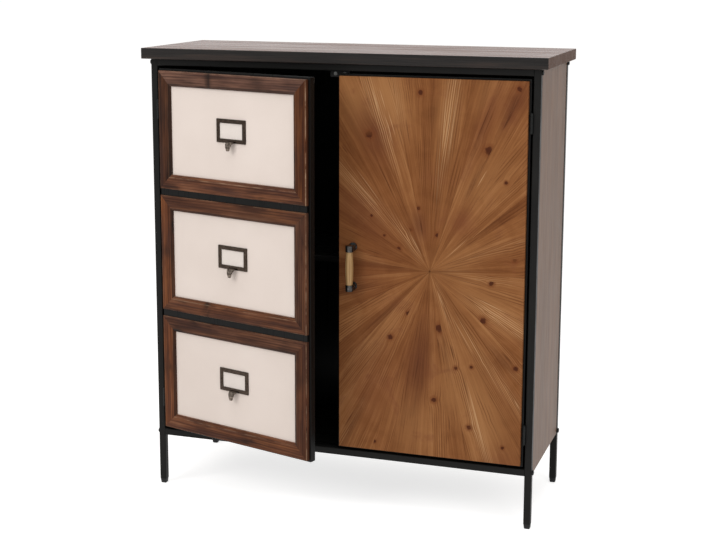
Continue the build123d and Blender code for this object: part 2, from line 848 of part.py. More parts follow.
def carcass():
    """Every piece that stands still, by node name."""
    corners = [(x_side, y_side) for y_side in (-1, 1) for x_side in (-1, 1)]
    names = {-1: "left", 1: "right"}
    ends = {-1: "front", 1: "rear"}
    levels = {"bottom": rail_levels[0], "top": rail_levels[1]}
    nodes = {"tabletop": tabletop(), "back_panel": back_panel()}
    nodes["floor_panel"] = floor_panel()
    nodes["shelf"] = shelf()
    for x_side, y_side in corners:
        nodes[f"{ends[y_side]}_{names[x_side]}_post"] = post(x_side, y_side)
    for x_side in (-1, 1):
        nodes[f"{names[x_side]}_side_panel"] = side_panel(x_side)
        for word, level in levels.items():
            nodes[f"{names[x_side]}_{word}_side_rail"] = side_rail(x_side, level)
    nodes["foot_glides"] = [glide(*corner) for corner in corners]
    nodes["front_bottom_rail"] = cross_rail(-1, levels["bottom"])
    nodes["front_top_rail"] = top_front_rail()
    nodes["rear_bottom_rail"] = rear_rail(levels["bottom"])
    nodes["rear_top_rail"] = rear_rail(levels["top"])
    bolts = [(x, y, level) for x, y in corners for level in rail_levels]
    nodes["frame_bolts"] = [frame_bolt(*place) for place in bolts]
    nodes["rail_nut_inserts"] = [nut_insert(*place) for place in bolts]
    nodes["tabletop_screws"] = [tabletop_screw(x, y) for x in (-1, 1) for y in top_screw_places()]
    nodes["side_panel_screws"] = [
        side_panel_screw(x, y, level) for x in (-1, 1) for y in side_screw_places() for level in rail_levels
    ]
    nodes["back_panel_screws"] = [back_panel_screw(*place) for place in back_screw_places()]
    nodes["shelf_pins"] = [shelf_pin(x, y) for x in (-1, 1) for y in shelf_pin_places()]
    nodes["catch_body"] = catch_body()
    nodes["catch_magnets"] = [Pos(x * magnet_spread, 0, 0) * magnet(0) for x in (-1, 1)]
    nodes["catch_screws"] = [catch_screw(x) for x in catch_screw_places()]
    hinges = [(side, level) for side in (-1, 1) for level in hinge_levels]
    nodes["hinge_post_leaves"] = [hinge_leaf(side, False, level) for side, level in hinges]
    nodes["hinge_pins"] = [hinge_pin(side, level) for side, level in hinges]
    nodes["hinge_post_screws"] = leaf_screws(-1, False, 0) + leaf_screws(1, False, 0)
    return nodes


def left_door():
    """Every piece that swings with the left door, by node name, with the door shut."""
    nodes = {"left_door_core": left_door_core()}
    for index, word in enumerate(drawer_names):
        nodes[f"{word}_drawer_frame"] = drawer_frame(index)
        nodes[f"{word}_drawer_panel"] = drawer_panel(index)
        nodes[f"{word}_label_holder"] = label_holder(index)
    nodes["label_cards"] = [label_card(index) for index in range(drawer_count)]
    pins = [holder_pins(index, 0) for index in range(drawer_count)]
    nodes["label_holder_pins"] = sum(pins, [])
    nodes["drawer_dividers"] = [divider(index) for index in range(drawer_count - 1)]
    nodes["left_hinge_door_leaves"] = [hinge_leaf(-1, True, level) for level in hinge_levels]
    nodes["left_door_hinge_screws"] = leaf_screws(-1, True, 0)
    nodes["left_strike_plate"] = strike_plate(-1)
    nodes["left_strike_screw"] = strike_screw(-1, 0)
    return nodes


def right_door():
    """Every piece that swings with the right door, by node name."""
    nodes = {"right_door_core": drill_for_handle(door_core(1)), "sunburst_wedges": sunburst()}
    for word, level in zip(("lower", "upper"), bracket_levels()):
        nodes[f"handle_{word}_bracket"] = handle_bracket(level)
    nodes["handle_grip"] = handle_grip()
    nodes["handle_rod"] = handle_rod()
    nodes["handle_screws"] = [handle_screw(level) for level in bracket_levels()]
    nodes["right_hinge_door_leaves"] = [hinge_leaf(1, True, level) for level in hinge_levels]
    nodes["right_door_hinge_screws"] = leaf_screws(1, True, 0)
    nodes["right_strike_plate"] = strike_plate(1)
    nodes["right_strike_screw"] = strike_screw(1, 0)
    return nodes


def save(name, pieces):
    """Writes one node, a single piece or a group of separate pieces."""
    shape = Compound(children=list(pieces)) if isinstance(pieces, list) else pieces
    export_step(shape, f"parts/{name}.step")


def main():
    os.makedirs("parts", exist_ok=True)
    for name, pieces in carcass().items():
        save(name, pieces)
    for name, pieces in left_door().items():
        save(name, [ajar(piece) for piece in pieces] if isinstance(pieces, list) else ajar(pieces))
    for name, pieces in right_door().items():
        save(name, pieces)


main()
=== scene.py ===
import bmesh
import bpy
import json
import math
import random
from mathutils import Matrix, Vector, noise


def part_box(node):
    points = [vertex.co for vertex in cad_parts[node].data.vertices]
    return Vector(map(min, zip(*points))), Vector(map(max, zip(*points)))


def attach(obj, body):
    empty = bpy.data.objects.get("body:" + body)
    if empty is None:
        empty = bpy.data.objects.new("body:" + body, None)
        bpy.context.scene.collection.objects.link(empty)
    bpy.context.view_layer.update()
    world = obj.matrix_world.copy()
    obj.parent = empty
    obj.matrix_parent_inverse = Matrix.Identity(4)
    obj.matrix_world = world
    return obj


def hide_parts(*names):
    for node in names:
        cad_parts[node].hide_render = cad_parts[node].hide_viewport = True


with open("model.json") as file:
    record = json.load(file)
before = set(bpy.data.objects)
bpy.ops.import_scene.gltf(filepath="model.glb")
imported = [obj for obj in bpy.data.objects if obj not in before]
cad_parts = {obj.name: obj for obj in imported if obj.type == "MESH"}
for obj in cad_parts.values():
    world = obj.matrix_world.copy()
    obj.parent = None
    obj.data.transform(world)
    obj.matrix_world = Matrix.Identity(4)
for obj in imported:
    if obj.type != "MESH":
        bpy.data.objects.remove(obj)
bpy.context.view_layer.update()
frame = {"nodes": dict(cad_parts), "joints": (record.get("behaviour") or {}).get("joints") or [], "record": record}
nodes = frame["nodes"]
joints = {joint["name"]: joint for joint in frame["joints"]}

MM = 0.001

# Mouldings of the false drawer fronts
stick_width = 32 * MM
bevel_width = 6 * MM
bevel_depth = 2.5 * MM
rebate_width = 5 * MM
rebate_depth = 3.1 * MM
arris_radius = 1.8 * MM
bevel_radius = 1.2 * MM
inner_radius = 0.8 * MM
corner_steps = 4
mitre_gap = 0.12 * MM
station_spacing = 7 * MM
moulding_crease = 38

# Dents in their edges: depth, and how fast they change along a stick, from stick to stick
# and round its outline
dent_depth = 0.45 * MM
dent_changes = (55.0, 9.1, 0.35)

# Looks of the sticks of each frame, in the order top, left, bottom, right:
# lightness, share of grey, wear and painted highlight of the outer edge, wear and painted highlight of the inner
# bevel; the painted highlight is strongest on the outer edges of the right sticks and the inner bevels of the
# bottom sticks, where light catches them
stick_looks = {
    "upper": (
        (1.16, 0.24, 0.30, 0.08), (0.62, 0.08, 0.25, 0.10),
        (1.18, 0.08, 0.30, 0.80), (0.82, 0.00, 1.00, 0.25),
    ),
    "middle": (
        (0.88, 0.08, 0.25, 0.10), (1.24, 0.00, 0.35, 0.15),
        (1.06, 0.06, 0.35, 0.55), (0.72, 0.10, 0.60, 0.20),
    ),
    "lower": (
        (0.80, 0.12, 0.25, 0.05), (1.26, 0.00, 0.35, 0.15),
        (1.08, 0.05, 0.30, 0.45), (0.84, 0.05, 0.60, 0.20),
    ),
}

# How much painted shade darkens the inner bevels, darkest on the sides that face away from the light, in the same
# order of sides, and how far from the edge that reaches
inner_bevel_shade = (0.45, 0.75, 0.0, 0.35)
bevel_shade_reach = 0.9 * bevel_width

# Scorched patches of the sticks: frame, side in the same order, place along the stick, length and strength;
# lengths in millimetres
scorch_marks = (
    ("upper", 0, -57, 7, 0.9), ("upper", 0, 74, 18, 0.35), ("upper", 0, -120, 26, 0.25),
    ("upper", 1, 40, 30, 0.35), ("middle", 1, 4, 14, 0.45), ("middle", 2, 70, 6, 0.6),
    ("middle", 0, 60, 40, 0.25), ("lower", 1, 10, 12, 0.35), ("lower", 2, -30, 16, 0.3),
    ("lower", 3, -50, 22, 0.3),
)

# Label holders: how far from the door the painted reflection on the pulls starts, and where it is brightest
reflection_start = 4 * MM
reflection_end = 10 * MM

# Boards: rounding of their edges, depth of the divider strips, how far the floor laps over the gaps
# beside it, and how squarely a face points inward where it is black
board_edge = 0.8 * MM
strip_edge = 0.6 * MM
strip_depth = 6 * MM
edge_steps = 3
floor_lap = 2.2 * MM
facing_limit = 0.9

# Sunburst: widths of neighbouring wedges in degrees, repeated round the centre
wedge_widths = (7.0, 5.5, 9.0, 6.0, 8.0, 5.0, 7.5, 9.5, 6.5, 8.5, 5.5, 7.0, 5.0)
wedge_rounds = 4
wedge_kerf = 0.06 * MM
wedge_chamfer = 0.06 * MM
wedge_step = 0.12 * MM
wedge_cell = 7 * MM
wedge_tone = 0.095
wedge_seed = 7
wedge_crease = 20
cut_tolerance = 1e-7
grain_tilt = math.radians(1.5)
grain_spread = (0.72, 1.35)

# Marks in the grain of the sunburst: right of its centre, above it, length along the grain, width, strength;
# lengths in millimetres
wood_marks = {
    "pale": (
        (44, 360, 110, 13, 0.75), (24, 246, 90, 8, 0.5), (-128, 360, 60, 14, 0.65), (-95, 268, 70, 7, 0.8),
        (-180, 193, 60, 13, 0.4), (-128, 139, 60, 12, 0.5), (-47, 64, 55, 9, 0.75), (133, -81, 60, 10, 0.9),
        (172, -98, 50, 16, 0.8), (99, -312, 85, 6, 0.65), (125, -376, 60, 9, 0.4), (33, -77, 70, 9, 0.5),
        (160, -232, 70, 12, 0.6), (-71, 345, 50, 10, 0.4), (150, 60, 90, 9, 0.4), (120, -8, 90, 10, 0.4),
    ),
    "dark": (
        (-21, -197, 75, 20, 0.8), (34, -167, 45, 9, 0.5), (113, 316, 80, 5, 0.35), (90, 262, 60, 3, 0.3),
        (173, 355, 40, 16, 0.6), (155, 318, 30, 8, 0.4), (-119, 281, 50, 26, 0.35), (-150, 115, 60, 30, 0.3),
        (-24, 95, 30, 11, 0.7), (-133, -165, 80, 40, 0.3), (-165, -341, 70, 9, 0.6), (-101, -103, 60, 6, 0.6),
        (40, 3, 40, 3, 0.6), (157, -174, 45, 8, 0.6), (88, 187, 35, 5, 0.6), (-178, -52, 60, 8, 0.6),
        (-120, 8, 70, 7, 0.5),
    ),
    "ruddy": (
        (-119, 281, 60, 34, 0.7), (67, 107, 28, 20, 0.7), (-24, 95, 34, 14, 0.6), (173, 355, 50, 22, 0.7),
        (-150, 115, 80, 40, 0.5), (159, -405, 40, 30, 0.6), (-21, -197, 80, 26, 0.6),
        (-150, -20, 70, 50, 0.4), (113, 316, 90, 16, 0.6), (-120, -250, 90, 60, 0.4),
    ),
    "golden": (
        (-92, 358, 75, 42, 0.9), (-165, 350, 70, 30, 0.6), (-25, -335, 80, 45, 0.55),
        (112, -290, 115, 42, 0.8), (130, -60, 90, 40, 0.5), (120, 370, 50, 30, 0.4), (40, -250, 60, 25, 0.4),
        (90, -142, 60, 16, 0.6), (112, 190, 90, 42, 0.4), (34, 335, 80, 24, 0.6), (-70, -290, 80, 34, 0.15),
        (60, 30, 70, 30, 0.35),
    ),
}

# Thin lines of the sunburst: right of its centre, above it, half length along the grain and half width,
# in millimetres
pale_lines = (
    (-91, 292, 42, 1.7), (-84, 302, 34, 1.2), (-118, 347, 36, 1.7), (-104, 352, 30, 1.2), (26, 305, 80, 1.1),
    (34, 300, 70, 0.9), (43, 294, 90, 1.1), (-144, 162, 67, 1.0), (-131, 170, 60, 0.9), (106, 198, 27, 1.2),
    (-31, 55, 37, 1.2), (57, 53, 43, 0.9), (104, -306, 94, 2.4), (97, -316, 60, 1.1), (129, -61, 46, 1.5),
    (135, -76, 52, 1.6), (188, -265, 18, 1.5), (23, -55, 28, 1.4), (104, -163, 120, 1.1), (72, -130, 60, 1.0),
)
dark_lines = (
    (109, 315, 63, 1.8), (117, 309, 50, 1.2), (156, 317, 28, 4.0), (-184, 244, 14, 1.5), (-121, 33, 32, 1.6),
    (-118, 24, 30, 1.2), (20, -148, 22, 2.0), (50, -166, 24, 2.2), (-174, -333, 30, 2.0), (47, -324, 28, 1.4),
    (167, -170, 26, 2.2), (-19, 92, 22, 2.5), (-50, 289, 42, 1.4), (-160, 70, 40, 1.3), (-90, 176, 50, 1.2),
    (-14, 250, 70, 1.2), (-60, -220, 60, 1.2), (150, 110, 40, 1.1), (-110, -60, 40, 1.3), (80, -240, 50, 1.1),
)

# Knots of the sunburst: right of its centre, above it, and radius, in millimetres
knots = (
    (-132, 278, 7.5), (120, 255, 8.5), (-26, 131, 4.0), (-43, 85, 4.0), (15, 77, 4.5), (-67, 44, 4.5),
    (-24, 368, 5.5), (156, 193, 3.5), (-126, 110, 3.0), (177, 36, 4.5), (-45, -92, 5.0), (21, -118, 8.0),
    (130, -15, 5.0), (114, -95, 6.5), (-84, -146, 5.5), (12, -273, 5.5), (58, -200, 3.5), (91, -195, 3.5),
    (184, -190, 5.0), (88, -325, 5.0), (160, -361, 3.5), (-117, -378, 3.5), (179, 381, 5.0), (-98, 70, 3.0),
)

# Camera, from the edges of the cabinet in the photograph
camera_place = (0.9646, -2.9334, 1.1736)
camera_turn = 18.278
camera_dip = 10.159
camera_roll = 0.172
camera_reach = 200.0
focal_pixels = 1430.0
picture_width = 716
sensor_width = 36.0
picture_shift = -0.08

# Floor and surround; the floor's glow and the white are only for rays that see them directly
floor_size = 120.0
floor_colour = (0.78, 0.77, 0.76, 1.0)
floor_glow = 0.68
surround_colour = (1.0, 0.985, 0.97, 1.0)
surround_strength = 0.46
white_colour = (1.0, 1.0, 1.0, 1.0)
white_strength = 1.0

# Lamps: place, point that the lamp is aimed at, size and power, in metres and watts
lamps = {
    "key": ((-1.9, -2.7, 2.5), (0.0, 0.0, 0.5), 1.8, 46.0),
    "fill": ((2.6, -2.2, 1.7), (0.2, 0.0, 0.5), 1.8, 21.0),
    "overhead": ((0.2, -0.6, 3.0), (0.0, 0.0, 0.6), 2.2, 33.0),
}


def swing_of_left_door():
    """The turn that opens the left door from shut to its rest angle."""
    joint = joints["left_door_hinge"]
    hinge = Matrix.Translation(Vector(joint["pos_m"]))
    open_angle = math.radians(joint["range_deg"][0])
    return hinge @ Matrix.Rotation(open_angle, 4, "Z") @ hinge.inverted()


class Paint:
    """Builds the node tree of one procedural material."""

    def __init__(self, name, fixed):
        self.material = bpy.data.materials.new(name)
        self.material.use_nodes = True
        self.tree = self.material.node_tree
        self.shader = self.tree.nodes["Principled BSDF"]
        for socket, value in fixed.items():
            self.connect(self.shader.inputs[socket], value)

    def connect(self, socket, value):
        """Feeds a socket from another socket, or sets it to a fixed value."""
        if isinstance(value, bpy.types.NodeSocket):
            self.tree.links.new(value, socket)
        elif isinstance(value, tuple) and len(value) == 3 and socket.type == "RGBA":
            socket.default_value = (*value, 1.0)
        else:
            socket.default_value = value

    def add(self, kind, inputs=None, **settings):
        """Adds a node with its settings and inputs."""
        node = self.tree.nodes.new("ShaderNode" + kind)
        for key, value in settings.items():
            setattr(node, key, value)
        for key, value in (inputs or {}).items():
            self.connect(node.inputs[key], value)
        return node

    def attribute(self, name):
        """A number that the mesh carries at each point."""
        return self.add("Attribute", attribute_name=name).outputs["Fac"]

    def place(self, scale=(1.0, 1.0, 1.0), source="Object"):
        """Texture coordinates in metres, stretched along each axis."""
        if source == "Object":
            vector = self.add("TexCoord").outputs["Object"]
        else:
            vector = self.add("Attribute", attribute_name=source).outputs["Vector"]
        return self.stretch(vector, scale)

    def stretch(self, vector, scale):
        """A vector stretched along each axis."""
        return self.add("Mapping", {"Vector": vector, "Scale": scale}).outputs["Vector"]

    def noise(self, vector, detail, roughness, distortion=0.0, scale=1.0):
        """Smooth noise between 0 and 1."""
        inputs = {"Vector": vector, "Scale": scale, "Detail": detail}
        inputs.update({"Roughness": roughness, "Distortion": distortion})
        return self.add("TexNoise", inputs).outputs["Fac"]

    def even_noise(self, scale, detail, roughness, distortion=0.0):
        """Smooth noise that looks the same in all directions."""
        return self.noise(self.place(), detail, roughness, distortion, scale)

    def math(self, operation, first, second=0.0, clamp=False):
        """One arithmetic step."""
        node = self.add("Math", {0: first, 1: second}, operation=operation, use_clamp=clamp)
        return node.outputs["Value"]

    def weighted(self, *terms):
        """The sum of some values, each times its weight."""
        total = 0.0
        for value, weight in terms:
            step = self.add("Math", {0: value, 1: weight, 2: total}, operation="MULTIPLY_ADD")
            total = step.outputs["Value"]
        return total

    def vector(self, operation, *inputs, result="Vector"):
        """One step of vector arithmetic."""
        return self.add("VectorMath", dict(enumerate(inputs)), operation=operation).outputs[result]

    def level(self, value, low, high, start=0.0, end=1.0):
        """Stretches a range of values smoothly to another range."""
        inputs = {"Value": value, "From Min": low, "From Max": high, "To Min": start, "To Max": end}
        return self.add("MapRange", inputs, interpolation_type="SMOOTHSTEP").outputs["Result"]

    def ramp(self, factor, *stops):
        """A colour for each value between 0 and 1."""
        node = self.add("ValToRGB", {"Fac": factor})
        elements = node.color_ramp.elements
        while len(elements) < len(stops):
            elements.new(0.5)
        for element, (position, colour) in zip(elements, stops):
            element.position = position
            element.color = (*colour, 1.0)
        return node.outputs["Color"]

    def blend(self, factor, first, second):
        """Mixes two colours."""
        node = self.add("Mix", data_type="RGBA", clamp_factor=True)
        sockets = {"Factor_Float": factor, "A_Color": first, "B_Color": second}
        for socket in node.inputs:
            if socket.identifier in sockets:
                self.connect(socket, sockets[socket.identifier])
        return next(socket for socket in node.outputs if socket.identifier == "Result_Color")

    def finish(self, colour, roughness, height, depth, strength):
        """Connects colour, roughness and surface relief, and returns the material."""
        self.connect(self.shader.inputs["Base Color"], colour)
        self.connect(self.shader.inputs["Roughness"], roughness)
        relief = self.add("Bump", {"Height": height, "Distance": depth, "Strength": strength})
        self.connect(self.shader.inputs["Normal"], relief.outputs["Normal"])
        return self.material


def along(axis, lengthwise, crosswise):
    """Stretch factors for grain that runs along one axis."""
    return tuple(lengthwise if index == axis else crosswise for index in range(3))


def grain_value(paint, axis, streak_scale):
    """Streaks, fibres and patches of wood that run along one axis, as one number, and the fibres alone."""
    streaks = paint.noise(paint.place(along(axis, 1.6, streak_scale)), 6.0, 0.6, 0.6)
    fibres = paint.noise(paint.place(along(axis, 14.0, 620.0)), 3.0, 0.5)
    patches = paint.noise(paint.place(along(axis, 3.0, 9.0)), 2.0, 0.5)
    patches = paint.math("SUBTRACT", patches, 0.5)
    return paint.weighted((streaks, 0.72), (fibres, 0.28), (patches, 0.35)), fibres


def grained(name, axis, dark, middle, light, gloss, depth, specular, streak_scale):
    """Wood with streaks, fibres and pores that run along one axis."""
    paint = Paint(name, {"Specular IOR Level": specular})
    value, fibres = grain_value(paint, axis, streak_scale)
    colour = paint.ramp(value, (0.3, dark), (0.52, middle), (0.72, light))
    roughness = paint.level(fibres, 0.3, 0.7, gloss - 0.06, gloss + 0.08)
    return paint.finish(colour, roughness, value, depth, 0.6)


def stained_top():
    """Near-black stained wood with a satin finish; its end grain is dull."""
    paint = Paint("stained_top", {
        "Specular IOR Level": 0.2,
        "Sheen Weight": 0.25,
        "Sheen Roughness": 0.35,
        "Sheen Tint": (1.0, 0.55, 0.42),
    })
    value, fibres = grain_value(paint, 0, 60.0)
    colour = paint.ramp(
        value,
        (0.30, (0.0070, 0.0062, 0.0058)),
        (0.52, (0.0138, 0.0122, 0.0114)),
        (0.70, (0.0430, 0.0290, 0.0230)),
    )
    facing = paint.add("SeparateXYZ", {"Vector": paint.add("TexCoord").outputs["Normal"]}).outputs["X"]
    ends = paint.level(paint.math("ABSOLUTE", facing), 0.6, 0.9)
    pores = paint.noise(paint.place((60.0, 420.0, 700.0)), 3.0, 0.6)
    cut = paint.ramp(pores, (0.3, (0.007, 0.0068, 0.0046)), (0.7, (0.023, 0.0205, 0.0150)))
    colour = paint.blend(ends, colour, cut)
    satin = paint.level(value, 0.36, 0.64, 0.18, 0.38)
    worn = paint.level(fibres, 0.3, 0.7, 0.0, 0.06)
    roughness = paint.weighted((satin, 1.0), (worn, 1.0), (ends, 0.4))
    return paint.finish(colour, roughness, value, 0.12 * MM, 0.6)


def coated_steel():
    """Satin black powder coat with its orange-peel texture and slightly rubbed patches."""
    paint = Paint("black_steel", {"Specular IOR Level": 0.11})
    peel = paint.even_noise(950.0, 3.0, 0.6)
    dust = paint.even_noise(14.0, 4.0, 0.6)
    colour = paint.ramp(dust, (0.3, (0.0068, 0.0066, 0.0062)), (0.7, (0.0118, 0.0115, 0.0108)))
    roughness = paint.level(dust, 0.3, 0.7, 0.36, 0.5)
    return paint.finish(colour, roughness, peel, 0.12 * MM, 0.5)


def metal(name, dark, light, smooth, rough, scale, metallic=1.0, specular=0.5):
    """Bare, plated or painted metal with fine blotches in colour and gloss."""
    paint = Paint(name, {"Metallic": metallic, "Specular IOR Level": specular})
    blotches = paint.even_noise(scale, 5.0, 0.6)
    scuffs = paint.even_noise(scale * 6, 2.0, 0.5)
    colour = paint.ramp(blotches, (0.32, dark), (0.7, light))
    roughness = paint.level(scuffs, 0.3, 0.7, smooth, rough)
    return paint.finish(colour, roughness, scuffs, 0.06 * MM, 0.5)


def bronze_with_painted_reflection():
    """Dark bronze with a painted reflection that brightens it where the pulls stand proud of the left door."""
    paint = Paint("antique_bronze", {"Metallic": 0.9})
    blotches = paint.even_noise(240.0, 5.0, 0.6)
    scuffs = paint.even_noise(1440.0, 2.0, 0.5)
    outward = -swing_of_left_door().inverted().row[1].xyz
    back = min(point.co.dot(outward) for point in nodes["upper_label_holder"].data.vertices)
    reach = paint.vector("DOT_PRODUCT", paint.add("TexCoord").outputs["Object"], outward, result="Value")
    # painted reflection: the metal is painted brighter the further it stands out from the door
    pale_mask = paint.level(reach, back + reflection_start, back + reflection_end)
    dark = paint.ramp(blotches, (0.32, (0.024, 0.0165, 0.0120)), (0.7, (0.066, 0.047, 0.035)))
    bright = paint.ramp(blotches, (0.38, (0.044, 0.033, 0.026)), (0.66, (0.235, 0.190, 0.155)))
    colour = paint.blend(pale_mask, dark, bright)
    return paint.finish(colour, paint.level(scuffs, 0.3, 0.7, 0.12, 0.24), scuffs, 0.06 * MM, 0.5)


def black_plastic():
    """Moulded plastic with a fine spark-eroded texture."""
    paint = Paint("black_plastic", {"Specular IOR Level": 0.2})
    texture = paint.even_noise(1400.0, 2.0, 0.5)
    colour = paint.ramp(texture, (0.3, (0.010, 0.010, 0.010)), (0.7, (0.020, 0.020, 0.020)))
    return paint.finish(colour, paint.level(texture, 0.3, 0.7, 0.4, 0.55), texture, 0.1 * MM, 0.5)


def black_board(name, axis):
    """Black foil on board with a faint printed grain along one axis."""
    paint = Paint(name, {"Specular IOR Level": 0.1})
    grain = paint.noise(paint.place(along(axis, 2.5, 60.0)), 4.0, 0.6)
    pores = paint.noise(paint.place(along(axis, 40.0, 900.0)), 2.0, 0.5)
    colour = paint.ramp(grain, (0.3, (0.0046, 0.0045, 0.0043)), (0.7, (0.0082, 0.0079, 0.0074)))
    return paint.finish(colour, paint.level(grain, 0.3, 0.7, 0.26, 0.34), pores, 0.03 * MM, 0.3)


def cream_board():
    """Matt cream paint with a faint brushed texture and a little unevenness."""
    paint = Paint("cream_board", {"Specular IOR Level": 0.25})
    clouds = paint.even_noise(9.0, 3.0, 0.5)
    brush = paint.noise(paint.place((30.0, 30.0, 900.0)), 3.0, 0.5)
    colour = paint.ramp(clouds, (0.3, (0.775, 0.675, 0.612)), (0.7, (0.815, 0.715, 0.652)))
    return paint.finish(colour, paint.level(brush, 0.3, 0.7, 0.5, 0.62), brush, 0.08 * MM, 0.4)


def card_paper():
    """Blank card with short fibres."""
    paint = Paint("card", {"Specular IOR Level": 0.2})
    fibres = paint.noise(paint.place((900.0, 900.0, 260.0)), 3.0, 0.6)
    colour = paint.ramp(fibres, (0.3, (0.775, 0.70, 0.645)), (0.7, (0.825, 0.75, 0.695)))
    return paint.finish(colour, paint.level(fibres, 0.3, 0.7, 0.7, 0.8), fibres, 0.04 * MM, 0.4)


def growth_lines(paint, vector, scale, distortion):
    """Lines along the grain, a little wavy."""
    inputs = {"Vector": vector, "Scale": scale, "Distortion": distortion, "Detail": 2.0}
    inputs.update({"Detail Scale": 0.6, "Detail Roughness": 0.5})
    return paint.add("TexWave", inputs, bands_direction="Y", wave_profile="SIN").outputs["Fac"]


def stain(paint, value, streaks):
    """Red-brown stain with warm and dark patches and growth lines, in the lightness of each stick."""
    colour = paint.ramp(
        value,
        (0.30, (0.034, 0.0115, 0.0062)),
        (0.46, (0.090, 0.0300, 0.0130)),
        (0.58, (0.132, 0.0460, 0.0195)),
        (0.76, (0.215, 0.0880, 0.0420)),
    )
    warmth = paint.noise(paint.place((6.0, 70.0, 9.7), "grain"), 3.0, 0.6, 0.4)
    colour = paint.blend(paint.level(warmth, 0.52, 0.68, 0.0, 0.6), colour, (0.200, 0.068, 0.0210))
    colour = paint.blend(paint.level(warmth, 0.48, 0.32, 0.0, 0.6), colour, (0.050, 0.0210, 0.0165))
    lines = growth_lines(paint, paint.place((0.13, 1.0, 0.37), "grain"), 58.0, 3.0)
    lines = paint.math("MULTIPLY", paint.level(lines, 0.55, 0.97), paint.level(streaks, 0.62, 0.4, 0.1, 0.7))
    colour = paint.blend(lines, colour, (0.030, 0.0105, 0.0060))
    colour = paint.vector("MULTIPLY", colour, paint.attribute("tone"))
    vivid = paint.math("SUBTRACT", 1.0, paint.attribute("grey"))
    return paint.add("HueSaturation", {"Saturation": vivid, "Color": colour}).outputs["Color"]


def stained_frame():
    """Stain over softwood, scorched in places and worn to pale wood along the edges, with painted shade on the
    inner bevels and painted highlights on the pale edges.
    """
    paint = Paint("stained_frame", {"Specular IOR Level": 0.07})
    streaks = paint.noise(paint.place((4.0, 160.0, 3.7), "grain"), 6.0, 0.62, 0.5)
    fibres = paint.noise(paint.place((24.0, 1300.0, 5.1), "grain"), 3.0, 0.5)
    patches = paint.noise(paint.place((9.0, 24.0, 8.3), "grain"), 3.0, 0.55)
    patches = paint.math("SUBTRACT", patches, 0.5)
    value = paint.weighted((streaks, 0.75), (fibres, 0.25), (patches, 0.65))
    colour = stain(paint, value, streaks)
    # soot patches, scorched patches and the painted shade of the inner bevels darken the stain
    soot_and_shade = paint.noise(paint.place((11.0, 46.0, 6.7), "grain"), 3.0, 0.6, 0.4)
    soot_and_shade = paint.math("ADD", paint.attribute("scorch_and_shade"), paint.level(soot_and_shade, 0.54, 0.74, 0.0, 0.6), True)
    colour = paint.blend(soot_and_shade, colour, (0.012, 0.0085, 0.0075))
    # pale edges: bare wood where worn, and painted highlights where light catches the edges
    pale_mask = paint.noise(paint.place((40.0, 240.0, 2.3), "grain"), 4.0, 0.65)
    worn = paint.math("MULTIPLY", paint.attribute("wear_and_highlight"), paint.level(pale_mask, 0.36, 0.62), True)
    pale = paint.ramp(fibres, (0.3, (0.22, 0.125, 0.072)), (0.7, (0.42, 0.285, 0.185)))
    colour = paint.blend(worn, colour, pale)
    roughness = paint.level(value, 0.3, 0.7, 0.38, 0.54)
    return paint.finish(colour, roughness, value, 0.35 * MM, 0.6)


def nearest_mark(paint, grain, marks):
    """How far each point is from the nearest mark, in shares of the mark's half length and half width."""
    nearest = 50.0
    for (lengthwise, crosswise, index), half_length, half_width in marks:
        stretch = (1 / half_length, 1 / half_width, 3.0)
        shift = (-lengthwise / half_length, -crosswise / half_width, -3.0 * index)
        apart = paint.vector("MULTIPLY_ADD", grain, stretch, shift)
        share = paint.vector("LENGTH", apart, result="Value")
        nearest = paint.math("MINIMUM", share, nearest)
    return nearest


def bent_grain(paint, knot_marks):
    """Grain of the wedges that bends round the knots, and how far the nearest knot is."""
    plain = paint.place(source="grain")
    uneven = paint.math("SUBTRACT", paint.even_noise(210.0, 2.0, 0.5), 0.56)
    nearest = paint.weighted((nearest_mark(paint, plain, knot_marks), 1.0), (uneven, 1.1))
    bend = paint.level(nearest, 4.5, 0.8, 0.0, 3 * MM)
    sideways = paint.add("CombineXYZ", {"Y": bend}).outputs["Vector"]
    return paint.vector("ADD", plain, sideways), nearest


def pine_value(paint, grain, fine, mottle):
    """How light the wood is, from broad streaks to fibres, with a tone for each wedge."""
    streaks = paint.noise(paint.stretch(grain, (2.4, 75.0, 4.7)), 6.0, 0.6, 0.3)
    lines_between = paint.noise(paint.stretch(grain, (6.0, 170.0, 5.3)), 3.0, 0.55, 0.2)
    fibres = paint.noise(paint.stretch(grain, (40.0, 1700.0, 2.1)), 2.0, 0.5)
    clouds = paint.even_noise(8.0, 3.0, 0.5)
    total = paint.weighted(
        (streaks, 0.62), (lines_between, 0.30), (fine, 0.40), (fibres, 0.16),
        (clouds, 0.24), (mottle, 0.36), (paint.attribute("tone"), 1.0),
    )
    return paint.math("SUBTRACT", total, 0.54)


def pine_ground(paint, value, mottle):
    """The wood's colour with golden and ruddy patches."""
    colour = paint.ramp(
        value,
        (0.22, (0.122, 0.040, 0.0130)),
        (0.40, (0.192, 0.069, 0.0225)),
        (0.55, (0.248, 0.097, 0.0330)),
        (0.78, (0.360, 0.165, 0.0640)),
    )
    colour = paint.blend(paint.attribute("golden"), colour, (0.345, 0.158, 0.0600))
    red = paint.math("ADD", paint.attribute("ruddy"), paint.level(mottle, 0.55, 0.75, 0.0, 0.45), True)
    return paint.blend(red, colour, (0.175, 0.056, 0.0230))


def pine_lines(paint, grain, fine, colour, lines):
    """Adds growth lines, dark streaks and bundles of pale lines to the wood's colour."""
    colour = paint.blend(lines, colour, (0.112, 0.036, 0.0125))
    smear = paint.math("MULTIPLY", paint.level(fine, 0.62, 0.36, 0.45, 1.0), paint.attribute("dark"), True)
    colour = paint.blend(smear, colour, (0.078, 0.026, 0.0115))
    pale = growth_lines(paint, paint.stretch(grain, (0.1, 1.0, 0.37)), 78.0, 1.4)
    pale = paint.math("MULTIPLY", paint.level(pale, 0.45, 0.95), paint.attribute("pale"))
    pale = paint.math("MULTIPLY", pale, paint.level(fine, 0.30, 0.6, 0.35, 0.95), True)
    return paint.blend(pale, colour, (0.540, 0.315, 0.1550))


